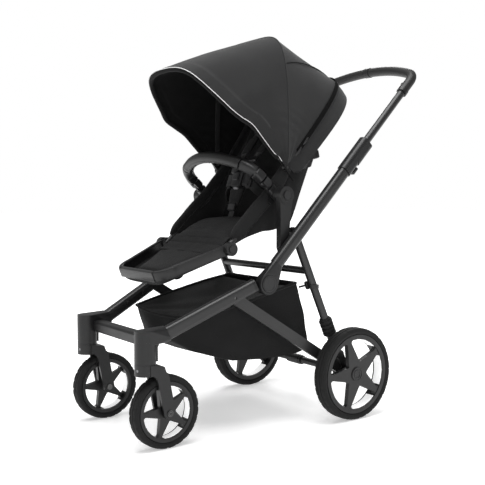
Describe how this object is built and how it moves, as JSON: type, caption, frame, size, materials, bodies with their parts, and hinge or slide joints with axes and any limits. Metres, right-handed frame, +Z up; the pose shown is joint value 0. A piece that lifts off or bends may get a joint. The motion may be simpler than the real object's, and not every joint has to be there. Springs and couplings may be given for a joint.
{
  "type": "baby stroller",
  "caption": "Full-size folding baby stroller with swivel front wheels, a forward-facing reclining seat, hooped canopy, bumper bar, adjustable leg rest, storage basket and telescopic push bar.",
  "frame": {"origin": "on the floor, under the middle of the stroller's bounding box", "axes": "+Z up, -Y the way it is pushed, +X the child's left-hand side"},
  "size_m": [0.592, 1.0514, 1.1626],
  "materials": {
    "frame_tube": "black powder coat, satin",
    "inner_tube": "black anodised, satin",
    "moulded_plastic": "black, fine spark texture",
    "button_plastic": "black, smooth",
    "rim_plastic": "black, satin, with pale edge strips between the spokes",
    "tyre_rubber": "black foam-filled rubber, matte, moulded tread",
    "bellows_rubber": "black, matte",
    "steel": "turned, satin",
    "grip_leather": "black, fine grain, stitched seam",
    "canopy_fabric": "black plain weave, matte, with white piping",
    "seat_fabric": "black, padded, matte",
    "basket_fabric": "black ripstop, matte",
    "webbing": "black woven webbing"
  },
  "bodies": {
    "front_frame": {"front_yoke": "moulded_plastic", "front_leg_left": "frame_tube", "front_leg_right": "frame_tube", "hinge_plates": "moulded_plastic", "pivot_pins": "steel", "basket": "basket_fabric", "basket_studs": "steel"},
    "push_frame": {"push_tube_left": "frame_tube", "push_tube_right": "frame_tube", "hub_housings": "moulded_plastic", "hub_caps": "button_plastic", "collars": "moulded_plastic", "seat_columns": "moulded_plastic"},
    "handle": {"handle_tube": "inner_tube", "handle_grip": "grip_leather", "grip_trim": "moulded_plastic"},
    "handle_button_left": {"handle_button_left": "button_plastic"},
    "handle_button_right": {"handle_button_right": "button_plastic"},
    "collar_trigger_left": {"collar_trigger_left": "button_plastic"},
    "collar_trigger_right": {"collar_trigger_right": "button_plastic"},
    "struts": {"struts": "frame_tube", "rear_axle": "moulded_plastic"},
    "brake_pedal": {"brake_pedal": "moulded_plastic"},
    "rear_legs": {"rear_leg_left": "frame_tube", "rear_leg_right": "frame_tube", "rear_cross_tube": "frame_tube", "bellows": "bellows_rubber", "basket_hooks": "steel"},
    "rear_wheel_left": {"rear_tyre_left": "tyre_rubber", "rear_rim_left": "rim_plastic"},
    "rear_wheel_right": {"rear_tyre_right": "tyre_rubber", "rear_rim_right": "rim_plastic"},
    "caster_left": {"fork_left": "moulded_plastic", "front_axle_left": "steel"},
    "caster_right": {"fork_right": "moulded_plastic", "front_axle_right": "steel"},
    "front_wheel_left": {"front_tyre_left": "tyre_rubber", "front_rim_left": "rim_plastic"},
    "front_wheel_right": {"front_tyre_right": "tyre_rubber", "front_rim_right": "rim_plastic"},
    "seat": {"seat_frame": "frame_tube", "seat_joints": "moulded_plastic", "seat_base": "seat_fabric", "seat_liner": "seat_fabric", "harness": "webbing", "canopy_rear_bow": "frame_tube", "canopy_rear": "canopy_fabric"},
    "recline_button_left": {"recline_button_left": "button_plastic"},
    "recline_button_right": {"recline_button_right": "button_plastic"},
    "leg_rest": {"leg_rest_frame": "moulded_plastic", "leg_rest_knuckles": "moulded_plastic", "calf_pad": "seat_fabric"},
    "leg_rest_button_left": {"leg_rest_button_left": "button_plastic"},
    "leg_rest_button_right": {"leg_rest_button_right": "button_plastic"},
    "bumper": {"bumper_bar": "grip_leather", "bumper_ends": "moulded_plastic"},
    "canopy_middle": {"canopy_mid_bow": "frame_tube", "canopy_mid": "canopy_fabric"},
    "canopy_visor": {"canopy_rim_bow": "frame_tube", "canopy_front": "canopy_fabric"}
  },
  "joints": [
    {"name": "fold", "type": "hinge", "parent": "front_frame", "child": "push_frame", "pos_m": [0, -0.137, 0.433], "axis": [1, 0, 0], "range_deg": [0, 45], "deforming": ["basket"]},
    {"name": "strut_fold", "type": "hinge", "parent": "front_frame", "child": "struts", "pos_m": [0, -0.237, 0.398], "axis": [1, 0, 0], "range_deg": [0, 28.5]},
    {"name": "rear_leg_fold", "type": "hinge", "parent": "push_frame", "child": "rear_legs", "pos_m": [0, -0.006, 0.574], "axis": [1, 0, 0], "range_deg": [-11.6, 0]},
    {"name": "handle_slide", "type": "slide", "parent": "push_frame", "child": "handle", "axis": [0, 0.6947, 0.7193], "range_m": [-0.15, 0.04]},
    {"name": "handle_button_left_press", "type": "slide", "parent": "handle", "child": "handle_button_left", "axis": [1, 0, 0], "range_m": [0, 0.0022], "stiffness_N_per_m": 900},
    {"name": "handle_button_right_press", "type": "slide", "parent": "handle", "child": "handle_button_right", "axis": [-1, 0, 0], "range_m": [0, 0.0022], "stiffness_N_per_m": 900},
    {"name": "collar_trigger_left_pull", "type": "slide", "parent": "push_frame", "child": "collar_trigger_left", "axis": [0, 0.6947, 0.7193], "range_m": [0, 0.006], "stiffness_N_per_m": 900},
    {"name": "collar_trigger_right_pull", "type": "slide", "parent": "push_frame", "child": "collar_trigger_right", "axis": [0, 0.6947, 0.7193], "range_m": [0, 0.006], "stiffness_N_per_m": 900},
    {"name": "recline", "type": "hinge", "parent": "push_frame", "child": "seat", "pos_m": [0, -0.049, 0.682], "axis": [-1, 0, 0], "range_deg": [0, 35]},
    {"name": "recline_button_left_press", "type": "slide", "parent": "push_frame", "child": "recline_button_left", "axis": [-1, 0, 0], "range_m": [0, 0.0025], "stiffness_N_per_m": 900},
    {"name": "recline_button_right_press", "type": "slide", "parent": "push_frame", "child": "recline_button_right", "axis": [1, 0, 0], "range_m": [0, 0.0025], "stiffness_N_per_m": 900},
    {"name": "leg_rest_tilt", "type": "hinge", "parent": "seat", "child": "leg_rest", "pos_m": [0, -0.219, 0.53], "axis": [-1, 0, 0], "range_deg": [-40, 20]},
    {"name": "leg_rest_button_left_press", "type": "slide", "parent": "leg_rest", "child": "leg_rest_button_left", "axis": [-1, 0, 0], "range_m": [0, 0.0025], "stiffness_N_per_m": 900},
    {"name": "leg_rest_button_right_press", "type": "slide", "parent": "leg_rest", "child": "leg_rest_button_right", "axis": [1, 0, 0], "range_m": [0, 0.0025], "stiffness_N_per_m": 900},
    {"name": "bumper_swing", "type": "hinge", "parent": "seat", "child": "bumper", "pos_m": [0, -0.0911, 0.7177], "axis": [-1, 0, 0], "range_deg": [-30, 0]},
    {"name": "canopy_fold", "type": "hinge", "parent": "seat", "child": "canopy_middle", "pos_m": [0, -0.011, 0.765], "axis": [-1, 0, 0], "range_deg": [0, 28], "deforming": ["canopy_mid"]},
    {"name": "visor_fold", "type": "hinge", "parent": "canopy_middle", "child": "canopy_visor", "pos_m": [0, -0.011, 0.765], "axis": [-1, 0, 0], "range_deg": [0, 30], "deforming": ["canopy_front"]},
    {"name": "caster_swivel_left", "type": "hinge", "parent": "front_frame", "child": "caster_left", "pos_m": [0.182, -0.488, 0.25], "axis": [0, 0, 1], "continuous": true},
    {"name": "caster_swivel_right", "type": "hinge", "parent": "front_frame", "child": "caster_right", "pos_m": [-0.182, -0.488, 0.25], "axis": [0, 0, 1], "continuous": true},
    {"name": "rear_wheel_left_spin", "type": "hinge", "parent": "struts", "child": "rear_wheel_left", "pos_m": [0.2725, 0.179, 0.14], "axis": [1, 0, 0], "continuous": true},
    {"name": "rear_wheel_right_spin", "type": "hinge", "parent": "struts", "child": "rear_wheel_right", "pos_m": [-0.2725, 0.179, 0.14], "axis": [1, 0, 0], "continuous": true},
    {"name": "front_wheel_left_spin", "type": "hinge", "parent": "caster_left", "child": "front_wheel_left", "pos_m": [0.182, -0.4305, 0.1], "axis": [1, 0, 0], "continuous": true},
    {"name": "front_wheel_right_spin", "type": "hinge", "parent": "caster_right", "child": "front_wheel_right", "pos_m": [-0.182, -0.4305, 0.1], "axis": [1, 0, 0], "continuous": true},
    {"name": "brake", "type": "hinge", "parent": "struts", "child": "brake_pedal", "pos_m": [0, 0.179, 0.14], "axis": [-1, 0, 0], "range_deg": [0, 15]}
  ],
  "couplings": [
    {"joint": "strut_fold", "follows": "fold", "ratio": 0.628},
    {"joint": "rear_leg_fold", "follows": "fold", "ratio": -0.2425},
    {"joint": "visor_fold", "follows": "canopy_fold", "ratio": 1.07}
  ]
}
